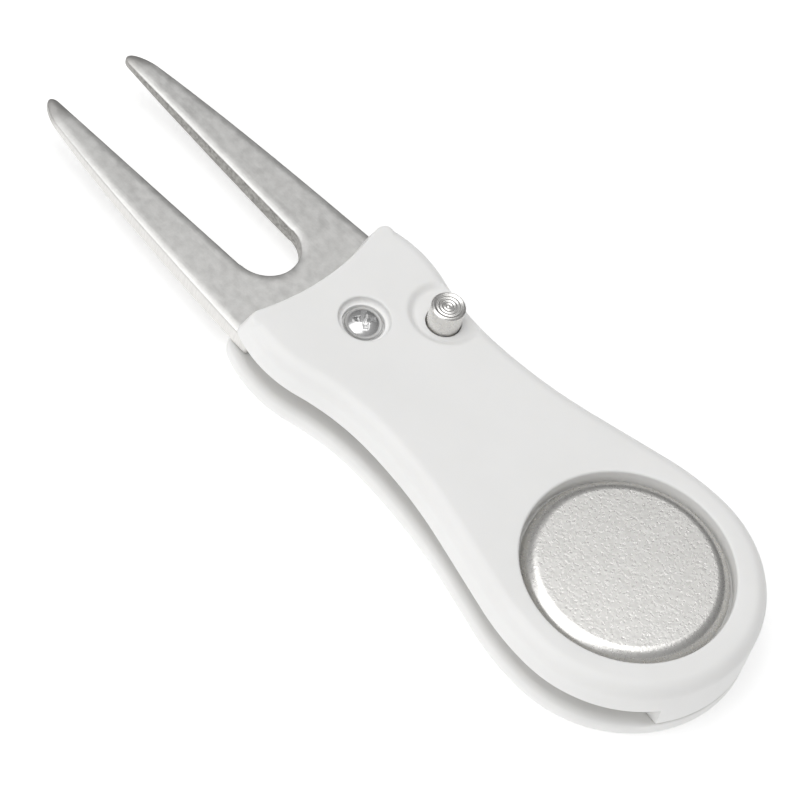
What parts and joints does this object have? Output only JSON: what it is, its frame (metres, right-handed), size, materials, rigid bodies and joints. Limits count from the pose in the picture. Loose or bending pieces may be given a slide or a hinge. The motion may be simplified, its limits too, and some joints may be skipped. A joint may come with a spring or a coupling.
{
  "type": "divot repair tool",
  "caption": "Pocket divot repair tool: a two-tine steel fork folds into a waisted two-shell handle with a push-button lock and a magnetic ball marker in the tail.",
  "frame": {"origin": "on the back shell's flat outer face, on the handle's centreline, level with the pivot along the length", "axes": "+X along the handle towards the fork's tips, +Y towards the handle's open side, where the fork swings, +Z out of the front face with the marker and the button"},
  "size_m": [0.1098, 0.033, 0.0131],
  "materials": {
    "shell": "white, satin, very fine moulded grain",
    "fork": "satin stamped stainless steel with coined edges",
    "screw": "bright plated",
    "sleeve": "ground",
    "washer": "natural nylon",
    "insert": "knurled, turned",
    "spring": "drawn wire",
    "button": "turned, nickel plated, ringed end face",
    "marker": "pebbled satin nickel",
    "magnet": "nickel plated"
  },
  "bodies": {
    "handle": {"front_shell": "shell", "back_shell": "shell", "pivot_screw": "screw", "pivot_sleeve": "sleeve", "front_washer": "washer", "back_washer": "washer", "pivot_insert": "insert", "torsion_spring": "spring", "button_spring": "spring", "magnet": "magnet", "tail_screw_open": "screw", "tail_screw_spine": "screw"},
    "fork": {"fork": "fork"},
    "button": {"release_button": "button"},
    "marker": {"ball_marker": "marker"}
  },
  "joints": [
    {"name": "fork_swing", "type": "hinge", "parent": "handle", "child": "fork", "pos_m": [0, 0.0005, 0.00455], "axis": [0, 0, 1], "range_deg": [0, 180], "stiffness_Nm_per_rad": 0.008, "springref_deg": -89.95, "deforming": ["torsion_spring"]},
    {"name": "button_press", "type": "slide", "parent": "handle", "child": "button", "axis": [0, 0, -1], "range_m": [0, 0.0024], "stiffness_N_per_m": 400, "springref_m": -0.003, "deforming": ["button_spring"]},
    {"name": "marker_lift", "type": "slide", "parent": "handle", "child": "marker", "axis": [0, 0, 1], "range_m": [0, 0.015]}
  ]
}
